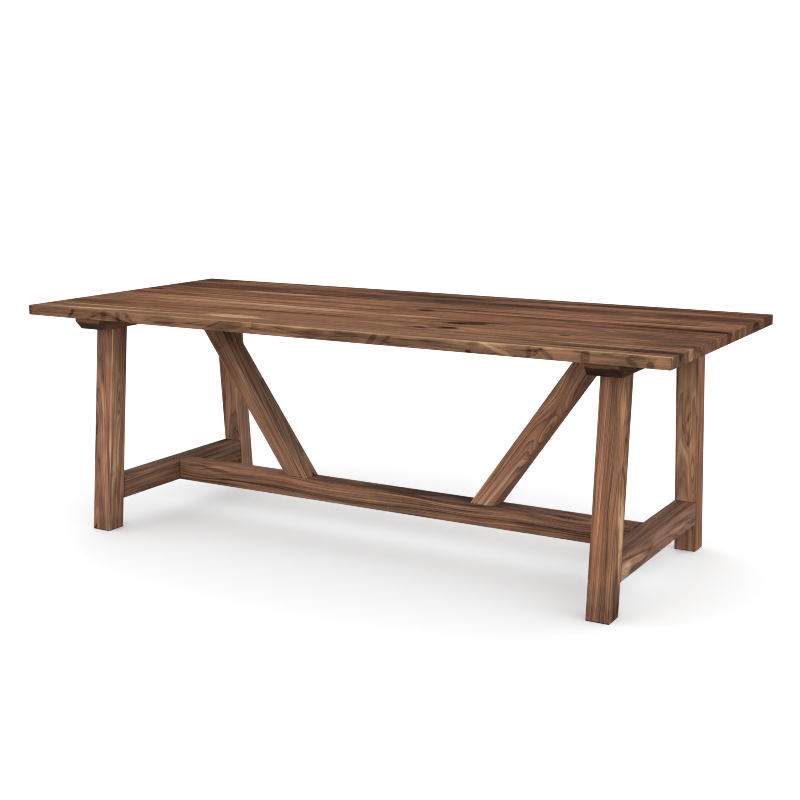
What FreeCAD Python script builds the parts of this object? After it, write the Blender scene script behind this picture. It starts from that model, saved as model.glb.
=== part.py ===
import FreeCAD, Part
import math
import os
from FreeCAD import Vector

# Farmhouse table: a plank top on two splayed trestles, a low stretcher and two diagonal braces.
# Millimetres. Origin on the floor under the middle of the top.
# +X runs along the table to the right, +Y to the back, +Z up.

# Top
length = 2200.0
width = 980.0
height = 762.0
top_thickness = 32.0
board_count = 7
arris = 2.0

# Bearers, across the table under the top
bearer_length = 880.0
bearer_width = 100.0
bearer_thickness = 45.0
bearer_end_chamfer = 27.0
end_overhang = 156.0

# Legs, splayed across the table
leg_width = 70.0
leg_depth = 70.0
leg_splay_degrees = 5.0
foot_centre = 379.0
foot_ease = 1.5

# Cross rails between the legs, and the stretcher between the rails
rail_width = 70.0
rail_height = 70.0
rail_underside = 98.0
stretcher_width = 70.0
stretcher_height = 70.0

# Braces, from the stretcher up to the top, ending short of the bearers
brace_width = 70.0
brace_depth = 70.0
brace_foot_reach = 395.0
brace_head_setback = 55.5

# Blind mortises and tenons: a cover is the wood left behind the mortise
tenon_thickness = 23.0
tenon_shoulder = 10.0
leg_tenon_cover = 12.0
rail_tenon_cover = 21.0
stretcher_tenon_cover = 22.0
brace_tenon_cover = 34.0
glue_gap = 0.15
end_gap = 1.0

# Screws from the bearers into the top, in slots that let the boards move
bearer_screw_radius = 2.5
bearer_screw_bite = 20.0
bearer_head_radius = 5.0
bearer_head_height = 3.5
bearer_socket_radius = 2.3
bearer_socket_depth = 2.0
bearer_slot_travel = 8.0
bearer_slot_clearance = 0.7
bearer_pocket_radius = 9.5
bearer_web = 23.0
washer_radius = 8.0
washer_thickness = 1.5
washer_bore_clearance = 0.3

# Coach screws from under the stretcher into the brace feet
foot_screw_radius = 3.5
foot_screw_length = 80.0
foot_screw_setback = 7.0
foot_head_radius = 7.0
foot_head_height = 4.0
foot_pocket_radius = 9.0
foot_pocket_depth = 18.0

# Steel plates let into the brace heads, with a wing on each side of the brace, and their screws
plate_wing = 32.0
plate_width = 50.0
plate_thickness = 4.0
plate_corner_radius = 6.0
plate_screw_radius = 2.25
plate_head_radius = 4.5
plate_head_height = 2.6
plate_socket_radius = 1.7
plate_socket_depth = 1.6
wing_screw_inset = 12.0
wing_screw_spacing = 26.0
wing_screw_bite = 20.0
brace_screw_spacing = 30.0
brace_screw_setback = 10.0
brace_screw_bite = 45.0

screw_fit = 0.1
overrun = 5.0

# Levels
top_underside = height - top_thickness
bearer_underside = top_underside - bearer_thickness
bearer_pocket_floor = top_underside - bearer_web
under_washer = bearer_pocket_floor - washer_thickness
plate_underside = top_underside - plate_thickness
rail_top = rail_underside + rail_height
stretcher_underside = rail_top - stretcher_height
foot_pocket_floor = stretcher_underside + foot_pocket_depth

# Slopes, and the half widths that the sloping timbers have when they are cut level
splay = math.tan(math.radians(leg_splay_degrees))
leg_half_plan = leg_depth / 2 / math.cos(math.radians(leg_splay_degrees))
trestle_x = length / 2 - end_overhang - bearer_width / 2
brace_head_reach = trestle_x - bearer_width / 2 - brace_head_setback
brace_lean = (brace_head_reach - brace_foot_reach) / (top_underside - rail_top)
brace_angle = math.atan(brace_lean)
brace_half_plan = brace_depth / 2 / math.cos(brace_angle)
brace_foot_x = brace_foot_reach - brace_half_plan
brace_head_x = brace_head_reach - brace_half_plan

# Places along the pieces
board_width = width / board_count
bearer_half = bearer_length / 2
bearer_sole_half = bearer_half - bearer_end_chamfer
leg_head_outside = foot_centre - bearer_underside * splay + leg_half_plan
foot_screw_x = brace_foot_x - foot_screw_setback
plate_half_length = brace_width / 2 + plate_wing

# Tenon lengths
leg_tenon_length = bearer_thickness - leg_tenon_cover - end_gap
rail_tenon_length = leg_depth - rail_tenon_cover - end_gap
stretcher_tenon_length = rail_width - stretcher_tenon_cover - end_gap
brace_tenon_length = stretcher_height - brace_tenon_cover - end_gap

SIDES = {"left": -1, "right": 1}
ROWS = {"front": -1, "back": 1}
X_AXIS = Vector(1, 0, 0)
Y_AXIS = Vector(0, 1, 0)


def block(x_low, x_high, y_low, y_high, z_low, z_high):
    """A block between two corners."""
    corner = Vector(x_low, y_low, z_low)
    return Part.makeBox(x_high - x_low, y_high - y_low, z_high - z_low, corner)


def rod(radius, x, y, z_low, z_high):
    """An upright cylinder."""
    return Part.makeCylinder(radius, z_high - z_low, Vector(x, y, z_low))


def hexagon(radius, x, y, z_low, z_high):
    """An upright six-sided prism, radius to its corners."""
    turns = [math.radians(60 * i) for i in range(7)]
    points = [Vector(x + radius * math.cos(turn), y + radius * math.sin(turn), z_low) for turn in turns]
    return Part.Face(Part.makePolygon(points)).extrude(Vector(0, 0, z_high - z_low))


def slot(radius, travel, x, y, z_low, z_high):
    """An upright hole, drawn out along Y where its screw can travel."""
    if travel == 0:
        return rod(radius, x, y, z_low, z_high)
    y_low = y - travel / 2
    y_high = y + travel / 2
    middle = block(x - radius, x + radius, y_low, y_high, z_low, z_high)
    return middle.fuse([rod(radius, x, y_low, z_low, z_high), rod(radius, x, y_high, z_low, z_high)])


def across_prism(outline, x_low, x_high):
    """A prism along X from an outline of Y and Z pairs."""
    points = [Vector(x_low, y, z) for y, z in outline + outline[:1]]
    return Part.Face(Part.makePolygon(points)).extrude(Vector(x_high - x_low, 0, 0))


def leaning_prism(line, span_x, span_y, z_low, z_high):
    """A prism with level ends around a line: its place on the floor, and its lean per unit of height."""
    (foot_x, foot_y), (lean_x, lean_y) = line
    x = foot_x + lean_x * z_low
    y = foot_y + lean_y * z_low
    corners = [(-1, -1), (1, -1), (1, 1), (-1, 1), (-1, -1)]
    points = [Vector(x + i * span_x / 2, y + j * span_y / 2, z_low) for i, j in corners]
    rise = z_high - z_low
    return Part.Face(Part.makePolygon(points)).extrude(Vector(lean_x * rise, lean_y * rise, rise))


def timber(across, deep, run):
    """A squared timber along Z, its middle at the origin, with rounded long arrises."""
    blank = block(-across / 2, across / 2, -deep / 2, deep / 2, -run / 2, run / 2)
    upright = [edge for edge in blank.Edges if edge.BoundBox.ZLength > run / 2]
    return blank.makeFillet(arris, upright)


def placed(shape, axis, degrees, x, y, z):
    """A shape turned about an axis through the origin, then moved."""
    shape.rotate(Vector(0, 0, 0), axis, degrees)
    shape.translate(Vector(x, y, z))
    return shape


def level_slice(shape, z_low, z_high):
    """The part of a shape between two levels."""
    return shape.common(block(-length, length, -width, width, z_low, z_high))


def bored(shape, tools):
    """A shape with every tool cut out of it."""
    for tool in tools:
        shape = shape.cut(tool)
    return shape


# Lines that the leaning timbers follow: the place on the floor, and the lean per unit of height


def leg_line(side, row):
    return (side * trestle_x, row * foot_centre), (0, -row * splay)


def brace_line(side):
    return (side * (brace_foot_x - rail_top * brace_lean), 0), (side * brace_lean, 0)


# Tenons, and with gaps the mortises that take them


def leg_tenon(side, row, gap=0, depth_gap=0):
    span_x = tenon_thickness + 2 * gap
    span_y = leg_depth - 2 * tenon_shoulder + 2 * gap
    z_high = bearer_underside + leg_tenon_length + depth_gap
    return leaning_prism(leg_line(side, row), span_x, span_y, bearer_underside - overrun, z_high)


def rail_tenons(side, gap=0, depth_gap=0):
    """One bar through the rail, whose two ends are its tenons."""
    x = side * trestle_x
    z = rail_underside + rail_height / 2
    half_x = tenon_thickness / 2 + gap
    half_z = rail_height / 2 - tenon_shoulder + gap
    reach = foot_centre - z * splay - leg_half_plan + rail_tenon_length + depth_gap
    return block(x - half_x, x + half_x, -reach, reach, z - half_z, z + half_z)


def stretcher_tenons(gap=0, depth_gap=0):
    """One bar through the stretcher, whose two ends are its tenons."""
    z = stretcher_underside + stretcher_height / 2
    half_y = stretcher_width / 2 - tenon_shoulder + gap
    half_z = tenon_thickness / 2 + gap
    reach = trestle_x - rail_width / 2 + stretcher_tenon_length + depth_gap
    return block(-reach, reach, -half_y, half_y, z - half_z, z + half_z)


def brace_tenon(side, gap=0, depth_gap=0):
    span_x = 2 * (brace_half_plan - tenon_shoulder + gap)
    span_y = tenon_thickness + 2 * gap
    z_low = rail_top - brace_tenon_length - depth_gap
    return leaning_prism(brace_line(side), span_x, span_y, z_low, rail_top + overrun)


# Places of the screws


def bearer_screw_places(side):
    """X, Y and travel of each screw: the middle one is fixed, the others can travel with the boards."""
    x = side * trestle_x
    end_y = (leg_head_outside + bearer_sole_half) / 2
    return [(x, 0, 0)] + [(x, y, bearer_slot_travel) for y in (-end_y, -board_width, board_width, end_y)]


def wing_screw_places(side):
    """Two screws in each wing of a head plate."""
    reach_y = plate_half_length - wing_screw_inset
    half_x = wing_screw_spacing / 2
    return [(side * brace_head_x + i * half_x, j * reach_y) for i in (-1, 1) for j in (-1, 1)]


def brace_screw_places(side):
    """Two screws through a head plate into the brace."""
    x = side * (brace_head_x - brace_screw_setback)
    return [(x, -brace_screw_spacing / 2), (x, brace_screw_spacing / 2)]


# Screws, and with a fit the holes that take them


def bearer_screw(x, y):
    head_underside = under_washer - bearer_head_height
    head = rod(bearer_head_radius, x, y, head_underside, under_washer)
    shank = rod(bearer_screw_radius, x, y, under_washer, top_underside + bearer_screw_bite)
    socket_top = head_underside + bearer_socket_depth
    return head.fuse(shank).cut(hexagon(bearer_socket_radius, x, y, head_underside, socket_top))


def bearer_washer(x, y):
    bore_radius = bearer_screw_radius + washer_bore_clearance
    disc = rod(washer_radius, x, y, under_washer, bearer_pocket_floor)
    return disc.cut(rod(bore_radius, x, y, under_washer, bearer_pocket_floor))


def foot_screw(side):
    """A coach screw with a six-sided head."""
    x = side * foot_screw_x
    head = hexagon(foot_head_radius, x, 0, foot_pocket_floor - foot_head_height, foot_pocket_floor)
    return head.fuse(rod(foot_screw_radius, x, 0, foot_pocket_floor, foot_pocket_floor + foot_screw_length))


def foot_screw_hole(side):
    x = side * foot_screw_x
    z_high = foot_pocket_floor + foot_screw_length + end_gap
    return rod(foot_screw_radius + screw_fit, x, 0, stretcher_underside, z_high)


def countersunk_form(x, y, z_head, way, run, fit):
    """The outside of a countersunk screw: its flat head lies at z_head, and it points up or down by way."""
    start = Vector(x, y, z_head)
    radius = plate_screw_radius + fit
    head = Part.makeCone(plate_head_radius + fit, radius, plate_head_height, start, Vector(0, 0, way))
    return head.fuse(Part.makeCylinder(radius, run, start, Vector(0, 0, way)))


def wing_screw_form(x, y, fit=0, depth_gap=0):
    run = plate_thickness + wing_screw_bite + depth_gap
    return countersunk_form(x, y, plate_underside, 1, run, fit)


def brace_screw_form(x, y, fit=0, depth_gap=0):
    run = plate_thickness + brace_screw_bite + depth_gap
    return countersunk_form(x, y, top_underside, -1, run, fit)


def wing_screw(x, y):
    socket_top = plate_underside + plate_socket_depth
    return wing_screw_form(x, y).cut(hexagon(plate_socket_radius, x, y, plate_underside, socket_top))


def brace_screw(x, y):
    socket_floor = top_underside - plate_socket_depth
    return brace_screw_form(x, y).cut(hexagon(plate_socket_radius, x, y, socket_floor, top_underside))


# Timbers and plates


def boards():
    """The top, eased all round, bored from below and divided into its boards, front to back."""
    slab = block(-length / 2, length / 2, -width / 2, width / 2, top_underside, height)
    slab = slab.makeFillet(arris, slab.Edges)
    hole_top = top_underside + bearer_screw_bite + end_gap
    holes = []
    for side in SIDES.values():
        for x, y, travel in bearer_screw_places(side):
            holes.append(rod(bearer_screw_radius + screw_fit, x, y, top_underside, hole_top))
        holes += [wing_screw_form(x, y, screw_fit, end_gap) for x, y in wing_screw_places(side)]
    slab = bored(slab, holes)
    strips = []
    for i in range(board_count):
        y_low = i * board_width - width / 2
        strip = block(-length, length, y_low, y_low + board_width, top_underside, height)
        strips.append(slab.common(strip))
    return strips


def bearer(side):
    """A bearer with chamfered ends, mortised for two legs, with pockets and slots for the screws."""
    chamfer_top = bearer_underside + bearer_end_chamfer
    outline = [
        (-bearer_half, top_underside),
        (-bearer_half, chamfer_top),
        (-bearer_sole_half, bearer_underside),
        (bearer_sole_half, bearer_underside),
        (bearer_half, chamfer_top),
        (bearer_half, top_underside),
    ]
    x_low = side * trestle_x - bearer_width / 2
    blank = across_prism(outline, x_low, x_low + bearer_width)
    exposed = [edge for edge in blank.Edges if edge.BoundBox.ZMin < top_underside - arris]
    blank = blank.makeFillet(arris, exposed)
    tools = [leg_tenon(side, row, glue_gap, end_gap) for row in ROWS.values()]
    slot_radius = bearer_screw_radius + bearer_slot_clearance
    for x, y, travel in bearer_screw_places(side):
        tools.append(slot(bearer_pocket_radius, travel, x, y, bearer_underside, bearer_pocket_floor))
        tools.append(slot(slot_radius, travel, x, y, bearer_pocket_floor, top_underside))
    return bored(blank, tools)


def leg(side, row):
    """A leg cut level at the floor and at the bearer, with its head tenon and the mortise for the rail."""
    blank = timber(leg_width, leg_depth, 2 * height)
    blank = placed(blank, X_AXIS, row * leg_splay_degrees, side * trestle_x, row * foot_centre, 0)
    body = level_slice(blank, 0, bearer_underside)
    sole = [edge for edge in body.Edges if edge.BoundBox.ZMax < foot_ease]
    body = body.makeChamfer(foot_ease, sole)
    body = body.fuse(leg_tenon(side, row)).removeSplitter()
    return body.cut(rail_tenons(side, glue_gap, end_gap))


def rail(side):
    """A cross rail whose shoulders follow the splay of the legs, mortised for the stretcher."""
    z = rail_underside + rail_height / 2
    blank = timber(rail_width, rail_height, 2 * foot_centre)
    blank = placed(blank, X_AXIS, 90, side * trestle_x, 0, z)
    shoulder = foot_centre - leg_half_plan
    low = rail_underside - overrun
    high = rail_top + overrun
    outline = [
        (low * splay - shoulder, low),
        (shoulder - low * splay, low),
        (shoulder - high * splay, high),
        (high * splay - shoulder, high),
    ]
    x = side * trestle_x
    body = blank.common(across_prism(outline, x - rail_width, x + rail_width))
    body = body.fuse(rail_tenons(side)).removeSplitter()
    return body.cut(stretcher_tenons(glue_gap, end_gap))


def stretcher():
    """The long stretcher, mortised for the brace feet and bored for their screws."""
    body = timber(stretcher_height, stretcher_width, 2 * trestle_x - rail_width)
    body = placed(body, Y_AXIS, 90, 0, 0, stretcher_underside + stretcher_height / 2)
    body = body.fuse(stretcher_tenons()).removeSplitter()
    tools = []
    for side in SIDES.values():
        x = side * foot_screw_x
        tools.append(brace_tenon(side, glue_gap, end_gap))
        tools.append(foot_screw_hole(side))
        tools.append(rod(foot_pocket_radius, x, 0, stretcher_underside, foot_pocket_floor))
    return bored(body, tools)


def brace(side):
    """A diagonal brace cut level at both ends, with its foot tenon and the groove for its head plate."""
    (floor_x, floor_y), lean = brace_line(side)
    blank = timber(brace_depth, brace_width, 2 * length)
    blank = placed(blank, Y_AXIS, side * math.degrees(brace_angle), floor_x, floor_y, 0)
    body = level_slice(blank, rail_top, top_underside)
    body = body.fuse(brace_tenon(side)).removeSplitter()
    x = side * brace_head_x
    half_x = plate_width / 2 + screw_fit
    groove = block(x - half_x, x + half_x, -brace_width, brace_width, plate_underside, top_underside)
    holes = [brace_screw_form(x, y, screw_fit, end_gap) for x, y in brace_screw_places(side)]
    return bored(body, [groove, foot_screw_hole(side)] + holes)


def head_plate(side):
    """A steel plate with rounded corners and countersunk holes."""
    x = side * brace_head_x
    half_x = plate_width / 2
    plate = block(
        x - half_x, x + half_x, -plate_half_length, plate_half_length, plate_underside, top_underside
    )
    upright = [edge for edge in plate.Edges if edge.BoundBox.ZLength > plate_thickness / 2]
    plate = plate.makeFillet(plate_corner_radius, upright)
    holes = [wing_screw_form(x, y, screw_fit) for x, y in wing_screw_places(side)]
    holes += [brace_screw_form(x, y, screw_fit) for x, y in brace_screw_places(side)]
    return bored(plate, holes)


def build():
    """Every piece of the table by its name; like screws share a name."""
    pieces = {f"board_{i + 1}": board for i, board in enumerate(boards())}
    pieces["stretcher"] = stretcher()
    screws = {
        "bearer_screws": [],
        "bearer_washers": [],
        "brace_foot_screws": [],
        "plate_wing_screws": [],
        "plate_brace_screws": [],
    }
    for side_name, side in SIDES.items():
        pieces[f"bearer_{side_name}"] = bearer(side)
        pieces[f"rail_{side_name}"] = rail(side)
        pieces[f"brace_{side_name}"] = brace(side)
        pieces[f"head_plate_{side_name}"] = head_plate(side)
        for row_name, row in ROWS.items():
            pieces[f"leg_{row_name}_{side_name}"] = leg(side, row)
        screws["bearer_screws"] += [bearer_screw(x, y) for x, y, travel in bearer_screw_places(side)]
        screws["bearer_washers"] += [bearer_washer(x, y) for x, y, travel in bearer_screw_places(side)]
        screws["brace_foot_screws"].append(foot_screw(side))
        screws["plate_wing_screws"] += [wing_screw(x, y) for x, y in wing_screw_places(side)]
        screws["plate_brace_screws"] += [brace_screw(x, y) for x, y in brace_screw_places(side)]
    for name, group in screws.items():
        pieces[name] = Part.makeCompound(group)
    return pieces


os.makedirs("parts", exist_ok=True)
for name, shape in build().items():
    if not shape.isValid():
        raise ValueError(f"{name} is not a valid shape")
    shape.exportStep(f"parts/{name}.step")
    print(name, len(shape.Solids), "solids,", round(shape.Volume), "cubic mm")
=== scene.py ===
import math
from dataclasses import dataclass

import bpy
from mathutils import Matrix, Vector


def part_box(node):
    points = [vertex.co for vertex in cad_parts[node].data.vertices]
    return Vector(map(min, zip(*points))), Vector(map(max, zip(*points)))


# Farmhouse table in oiled walnut: the looks of every piece, the floor, the light and the camera.
# Metres. +X runs along the table to the right, +Y to the back, +Z up.

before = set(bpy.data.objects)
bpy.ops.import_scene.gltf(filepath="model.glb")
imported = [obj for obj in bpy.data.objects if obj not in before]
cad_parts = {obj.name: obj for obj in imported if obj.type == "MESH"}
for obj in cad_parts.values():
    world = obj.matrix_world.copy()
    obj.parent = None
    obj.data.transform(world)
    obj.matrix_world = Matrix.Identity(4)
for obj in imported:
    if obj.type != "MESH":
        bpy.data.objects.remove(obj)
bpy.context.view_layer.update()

X_AXIS = Vector((1, 0, 0))
Y_AXIS = Vector((0, 1, 0))
WHITE = (1, 1, 1, 1)

# The photograph's camera, and how many pixels wide its pixel filter is
CAMERA_PLACE = (2.1606, -3.7088, 1.3054)
CAMERA_TURN_DEGREES = 29.82
CAMERA_DIP_DEGREES = 11.076
SENSOR_MM = 36.0
LENS_MM = 60.37
PIXEL_FILTER = 1.0

# The light tent, as the strength of its walls low down and of its roof
TENT_HORIZON = 3.2
TENT_OVERHEAD = 0.25

# The soft boxes: the place and watts of each, and the size and target of both
FRONT_BOX = ((-1.5, -5.0, 3.2), 15)
SIDE_BOX = ((6.0, -0.5, 1.8), 40)
BOX_SIZE = 4.0
BOX_TARGET = (0, 0, 0.4)

# The floor: its size, its shade, the glow that washes it out, how much of its light reaches the
# table, and its roughness
FLOOR_RADIUS = 40
FLOOR_CORNERS = 96
FLOOR_SHADE = (0.904, 0.910, 0.914)
FLOOR_GLOW = 0.10
FLOOR_BOUNCE = 0.153
FLOOR_ROUGHNESS = 0.9

# Zinc-plated steel: its screen colours where it is dull and bright, the scales of its bloom and of
# its scratches, its roughness, and what both add to that
STEEL_DULL = (150, 150, 148)
STEEL_BRIGHT = (205, 205, 200)
BLOOM_SCALES = (90, 90, 90)
SCRATCH_SCALES = (900, 60, 900)
STEEL_ROUGHNESS = 0.12
SCRATCH_ROUGHNESS = 0.25
BLOOM_ROUGHNESS = 0.2

# Slopes of the leaning timbers, and where their visible parts end along them
LEG_SPLAY_DEGREES = 5.0
BRACE_LEAN_DEGREES = 35.0
SPLAY = math.tan(math.radians(LEG_SPLAY_DEGREES))
LEAN = math.tan(math.radians(BRACE_LEAN_DEGREES))
LEG_SHOULDER = 0.687
RAIL_SHOULDER = 0.332
STRETCHER_SHOULDER = 0.859
BRACE_SHOULDER = -0.686

# Walnut from its darkest knots to its pale sapwood, as shares of lightness and screen colours
WALNUT_RAMP = (
    (0.00, (34, 25, 20)),
    (0.22, (81, 58, 46)),
    (0.50, (128, 90, 68)),
    (0.72, (159, 114, 85)),
    (0.86, (180, 134, 99)),
    (1.00, (193, 162, 116)),
)
MID_TONE = 0.5

# What warmth and rose add to red, green and blue
WARM_TINT = (0.16, -0.02, -0.10)
ROSE_TINT = (0.03, -0.05, 0.08)

# Each piece's seed is a step on from the last one's
FIRST_SEED = 3.0
SEED_STEP = 10.0

# Growth in metres: how long and wide the waves of a shift are, and how far they shift the rings
SLOW_WAVE = (0.90, 0.16)
RIPPLE = (0.24, 0.032)
RIPPLE_SHIFT = 0.005
CURL = (0.080, 0.010)
CURL_SHIFT = 0.0013

# Uneven years: wave along the grain, wave across the rings, and how far they shift the rings
UNEVEN_YEARS = (1.25, 0.024, 0.014)

# Colour bands that follow the rings: wave along the grain, wave across the rings, strength
WIDE_BAND = (1.40, 0.045, 0.28)
BAND = (0.90, 0.0120, 0.42)
FINE_BAND = (0.50, 0.0052, 0.46)
WARM_BAND = (1.10, 0.030, 0.9)
ROSE_BAND = (0.70, 0.021, 0.8)

# The dark line of each year: its strength, how sharp it is, the waves in which it comes and goes,
# and where it fades in them
RING_LINE = 0.42
RING_SHARPNESS = 5.0
RING_FADE = (0.30, 0.009)
RING_FADE_EDGE = (0.30, 0.65)

# Fibre, mottle and pores: length, width, strength
FIBRE = (0.30, 0.0016, 0.20)
MOTTLE = (0.100, 0.022, 0.14)
PORE = (0.011, 0.0009, 0.14)
PORE_EDGE = (0.18, 0.34)

# A streak's ragged edge: the length, width and strength of its tongues, and where it fades
TONGUE = (0.11, 0.007, 0.55)
STREAK_EDGE = (0.25, 0.60)

# A knot's core: its tone, where it fades, and its reach along, across and deep, per its radius
KNOT_TONE = -0.35
KNOT_EDGE = (0.25, 0.75)
KNOT_SPREAD = (1.8, 1.0, 3.0)

# The dark line at a shoulder or a foot: half its width and its tone
# At a shoulder it is a joint line with painted shade in the crease, at a foot a painted contact
# shadow
SEAM_AND_SHADE_HALF_WIDTH = 0.0035
SEAM_AND_SHADE_TONE = -0.26

# The glue line between two boards: its width on each of them and its tone
FRONT_BOARD = "board_1"
BACK_BOARD = "board_7"
GLUE_LINE = 0.0011
GLUE_TONE = -0.22

# End grain: how squarely a face cuts the grain where it starts and where it is full, and its tone
# and contrast
END_FACING = (0.55, 0.85)
END_TONE = -0.13
END_CONTRAST = 0.6
BOARD_END_TONE = -0.05
BOARD_END_CONTRAST = 0.5

# The boards' right end, and how far in an end face's own tone reaches
RIGHT_END = 1.10
RIGHT_END_REACH = 0.0015

# Worn arrises: their tone, their width, and the patches in which they are worn
WORN_TONE = 0.07
WORN_WIDTH = 0.0035
WORN_PATCH = (0.06, 0.02)
WORN_EDGE = (0.35, 0.65)

# The oiled surface: its gloss, its roughness, and what patches, pores and end grain add to that
GLOSS = 0.10
ROUGHNESS = 0.46
ROUGH_PATCH = (0.08, 0.02)
PATCH_ROUGHNESS = 0.16
PORE_ROUGHNESS = 0.12
END_ROUGHNESS = 0.10

# Its relief: how far fibres, pores and the years' dark lines rise or sink, and the strength of all
FIBRE_RELIEF = 0.25
PORE_RELIEF = -1.0
LATE_RELIEF = -0.25
RELIEF_STRENGTH = 0.5
RELIEF_DEPTH = 0.0003


def linear(colour):
    """A screen colour of three numbers up to 255, as the light that it stands for."""
    shares = [channel / 255 for channel in colour]
    return [c / 12.92 if c <= 0.04045 else ((c + 0.055) / 1.055) ** 2.4 for c in shares]


class Field:
    """A number or vector that varies over a surface. Each sum or function of it adds a node."""

    def __init__(self, tree, socket):
        self.tree = tree
        self.socket = socket

    def node(self, kind, values, output=0, **settings):
        """A node's output, where values sets or joins its inputs in order or by name."""
        node = self.tree.nodes.new(kind)
        for name, setting in settings.items():
            setattr(node, name, setting)
        for key, value in values.items():
            if isinstance(value, Field):
                value.into(node, key)
            else:
                node.inputs[key].default_value = value
        return Field(self.tree, node.outputs[output])

    def into(self, node, key):
        """Joins this to a node's input."""
        self.tree.links.new(self.socket, node.inputs[key])

    def math(self, operation, *others):
        return self.node("ShaderNodeMath", dict(enumerate((self, *others))), operation=operation)

    def vector(self, operation, *others, output=0):
        values = dict(enumerate((self, *others)))
        return self.node("ShaderNodeVectorMath", values, output, operation=operation)

    def __add__(self, other):
        return self.math("ADD", other)

    def __sub__(self, other):
        return self.math("SUBTRACT", other)

    def __mul__(self, other):
        return self.math("MULTIPLY", other)

    def plus(self, other, times):
        """The sum of this and some times another."""
        return other.math("MULTIPLY_ADD", times, self)

    def stretched(self, scales, shift):
        """A place with each coordinate scaled, then shifted."""
        return self.vector("MULTIPLY_ADD", scales, shift)

    def parts(self):
        split = self.node("ShaderNodeSeparateXYZ", {0: self})
        sockets = split.socket.node.outputs
        return [Field(self.tree, socket) for socket in sockets]

    def joined(self, y, z):
        """A place from this and two more coordinates."""
        return self.node("ShaderNodeCombineXYZ", {0: self, 1: y, 2: z})

    def noise(self, detail=1.0, output=0):
        """Smooth noise at a place, about half in the middle of its range."""
        values = {"Vector": self, "Scale": 1.0, "Detail": detail}
        return self.node("ShaderNodeTexNoise", values, output)

    def smooth(self, low, high, to_low=0.0, to_high=1.0):
        """A smooth step from one value to another."""
        values = {0: self, 1: low, 2: high, 3: to_low, 4: to_high}
        return self.node("ShaderNodeMapRange", values, interpolation_type="SMOOTHSTEP")


def spot(place, middle, reach, lean=(0.0, 0.0)):
    """A soft spot: 1 in the middle, fading to 0 over its reach in each direction."""
    if any(lean):
        shift = place.vector("DOT_PRODUCT", (0.0, *lean), output=1)
        place = shift.vector("MULTIPLY_ADD", (-1, 0, 0), place)
        middle = (middle[0] - lean[0] * middle[1] - lean[1] * middle[2], *middle[1:])
    scales = [1 / length for length in reach]
    shift = [-m / length for m, length in zip(middle, reach)]
    offset = place.stretched(scales, shift)
    square = offset.vector("DOT_PRODUCT", offset, output=1)
    return (square * -1).math("EXPONENT")


@dataclass
class Streak:
    """A lighter or darker place with a ragged edge: its middle, reach each way, tone and warmth.

    Its lean is how far it moves along the grain, per length across and per length deep.
    """

    middle: tuple
    reach: tuple
    tone: float
    red: float = 0.0
    lean: tuple = (0.0, 0.0)


@dataclass
class Face:
    """A face along the grain: its place across or deep, and how far in the streaks on it reach."""

    direction: str
    place: float
    depth: float

    def streak(self, along, aside, length, width, tone, red=0.0, slope=0.0):
        """A streak that moves along the grain by its slope, per length aside."""
        if self.direction == "across":
            middle = (along, self.place, aside)
            reach = (length, self.depth, width)
            return Streak(middle, reach, tone, red, (0.0, slope))
        middle = (along, aside, self.place)
        reach = (length, width, self.depth)
        return Streak(middle, reach, tone, red, (slope, 0.0))


# A board's upper face, a board all through, and the front board's edge
BOARD_TOP = Face("deep", 0.016, 0.03)
BOARD = Face("deep", 0.0, 1.0)
BOARD_EDGE = Face("across", -0.075, 0.014)

# A leg's or brace's front and right face, a rail's right face and the stretcher's front
FRONT = Face("deep", -0.035, 0.02)
RIGHT = Face("across", 0.035, 0.02)
RAIL_SIDE = Face("across", -0.035, 0.02)
STRETCHER_FRONT = Face("across", -0.035, 0.03)


def seam_and_painted_shade(along, lean=(0.0, 0.0)):
    """The dark line, partly painted shade, where a timber meets the next piece or the floor."""
    # Painted shade: a joint line darkened in its crease, and a painted contact shadow where a foot
    # meets the floor
    return Streak((along, 0.0, 0.0), (SEAM_AND_SHADE_HALF_WIDTH, 1.0, 1.0), SEAM_AND_SHADE_TONE, lean=lean)


def right_end(tone, red=0.0):
    """The tone of a board's right end face."""
    return Streak((RIGHT_END, 0.0, 0.0), (RIGHT_END_REACH, 1.0, 1.0), tone, red)


@dataclass
class Knot:
    """A place that the rings bend around: its middle, reach each way and how far it lifts them.

    Its core is the radius of its dark middle, if it has one.
    """

    middle: tuple
    reach: tuple
    lift: float
    core: float = 0.0


@dataclass
class Cut:
    """How a piece was cut from its tree, in its own grain frame, in metres.

    Pith is where the middle of the tree lies, across and deep, and drift is how far that moves per
    length along. Ring is the width of a year, and wander how far the slow waves shift the rings.
    Broad and lines are how strong its wide bands and its fine ones are, and red and rose how warm
    and how rosy it is.
    """

    pith: tuple
    drift: tuple = (0.0, 0.0)
    ring: float = 0.0042
    wander: float = 0.018
    tone: float = 0.0
    contrast: float = 1.0
    broad: float = 1.0
    lines: float = 1.0
    red: float = 0.0
    rose: float = 0.0
    streaks: tuple = ()
    knots: tuple = ()


@dataclass
class Stick:
    """A piece's grain frame: its origin, its grain, the way across it, and its reach each way."""

    origin: Vector
    grain: Vector
    across: Vector
    reach: tuple

    def turn(self):
        deep = self.grain.cross(self.across)
        return Matrix((self.grain, self.across, deep)).transposed().to_euler()


def middle_of(name):
    low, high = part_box(name)
    return (low + high) / 2


def half_of(name):
    low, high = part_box(name)
    return (high - low) / 2


def long_stick(name):
    """The frame of a timber that lies along the table; deep is up."""
    return Stick(middle_of(name), X_AXIS, Y_AXIS, tuple(half_of(name)))


def cross_stick(name):
    """The frame of a timber that lies across the table; deep is up."""
    half = half_of(name)
    return Stick(middle_of(name), Y_AXIS, -X_AXIS, (half.y, half.x, half.z))


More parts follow.
